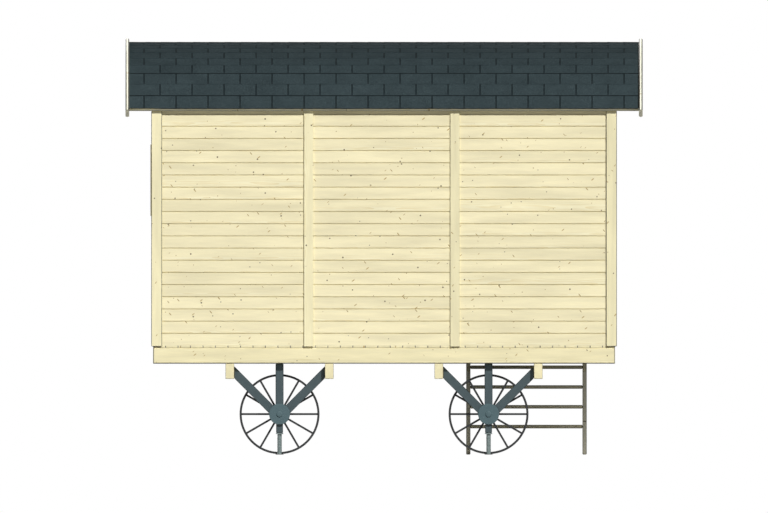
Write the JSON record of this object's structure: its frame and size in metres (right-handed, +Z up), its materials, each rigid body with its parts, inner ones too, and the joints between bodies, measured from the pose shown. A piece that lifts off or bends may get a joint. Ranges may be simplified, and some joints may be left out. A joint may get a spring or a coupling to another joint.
{
  "type": "gypsy wagon garden cabin",
  "caption": "Timber board cabin with a barrel roof, on a beam chassis with braced steel legs, spoked wheels and wooden steps.",
  "frame": {"origin": "on the ground, in the middle of the box round the whole wagon with its steps", "axes": "+X along the wagon, +Y from the plain back wall towards the door and the steps, +Z up"},
  "size_m": [5.172, 3.3668, 4.163],
  "materials": {
    "wall_boards": "untreated planed spruce boards",
    "planed_spruce": "untreated planed spruce",
    "chassis_timber": "untreated spruce beams",
    "bitumen_shingles": "mineral granule bitumen shingles, dark grey",
    "painted_steel": "dark blue-grey painted steel",
    "wheel_steel": "dark blue-grey painted steel",
    "galvanised_steel": "dull galvanised tube",
    "clear_glass": "clear glass"
  },
  "bodies": {
    "wagon": {"axle_caps": "painted_steel", "back_wall_left": "wall_boards", "back_wall_middle": "wall_boards", "back_wall_right": "wall_boards", "barge_board_left": "planed_spruce", "barge_board_right": "planed_spruce", "corner_trims_back": "planed_spruce", "corner_trims_front": "planed_spruce", "cover_battens": "planed_spruce", "cross_beams": "chassis_timber", "door_casing": "planed_spruce", "door_frame": "planed_spruce", "door_glass": "clear_glass", "door_leaf_left": "planed_spruce", "door_leaf_right": "planed_spruce", "eave_boards": "planed_spruce", "floor_boards": "chassis_timber", "floor_joists": "chassis_timber", "frame_end_beams": "chassis_timber", "frame_side_beams": "chassis_timber", "front_wall_left": "wall_boards", "front_wall_middle": "wall_boards", "front_wall_right": "wall_boards", "left_end_wall": "wall_boards", "leg_back_left": "painted_steel", "leg_back_right": "painted_steel", "leg_feet": "galvanised_steel", "leg_front_left": "painted_steel", "leg_front_right": "painted_steel", "right_end_wall": "wall_boards", "roof_arches": "planed_spruce", "roof_deck": "planed_spruce", "roof_shingles": "bitumen_shingles", "step_stringers": "planed_spruce", "step_tread_1": "planed_spruce", "step_tread_2": "planed_spruce", "step_tread_3": "planed_spruce", "step_tread_4": "planed_spruce", "window_casing": "planed_spruce", "window_frame": "planed_spruce", "window_glass": "clear_glass"},
    "wheel_back_left": {"wheel_back_left": "wheel_steel"},
    "wheel_back_right": {"wheel_back_right": "wheel_steel"},
    "wheel_front_left": {"wheel_front_left": "wheel_steel"},
    "wheel_front_right": {"wheel_front_right": "wheel_steel"}
  },
  "joints": [
    {"name": "wheel_back_left_turn", "type": "hinge", "parent": "wagon", "child": "wheel_back_left", "pos_m": [-1.045, -1.38393, 0.405], "axis": [0, 1, 0], "continuous": true},
    {"name": "wheel_back_right_turn", "type": "hinge", "parent": "wagon", "child": "wheel_back_right", "pos_m": [1.045, -1.38393, 0.405], "axis": [0, 1, 0], "continuous": true},
    {"name": "wheel_front_left_turn", "type": "hinge", "parent": "wagon", "child": "wheel_front_left", "pos_m": [-1.045, 0.42007, 0.405], "axis": [0, 1, 0], "continuous": true},
    {"name": "wheel_front_right_turn", "type": "hinge", "parent": "wagon", "child": "wheel_front_right", "pos_m": [1.045, 0.42007, 0.405], "axis": [0, 1, 0], "continuous": true}
  ]
}
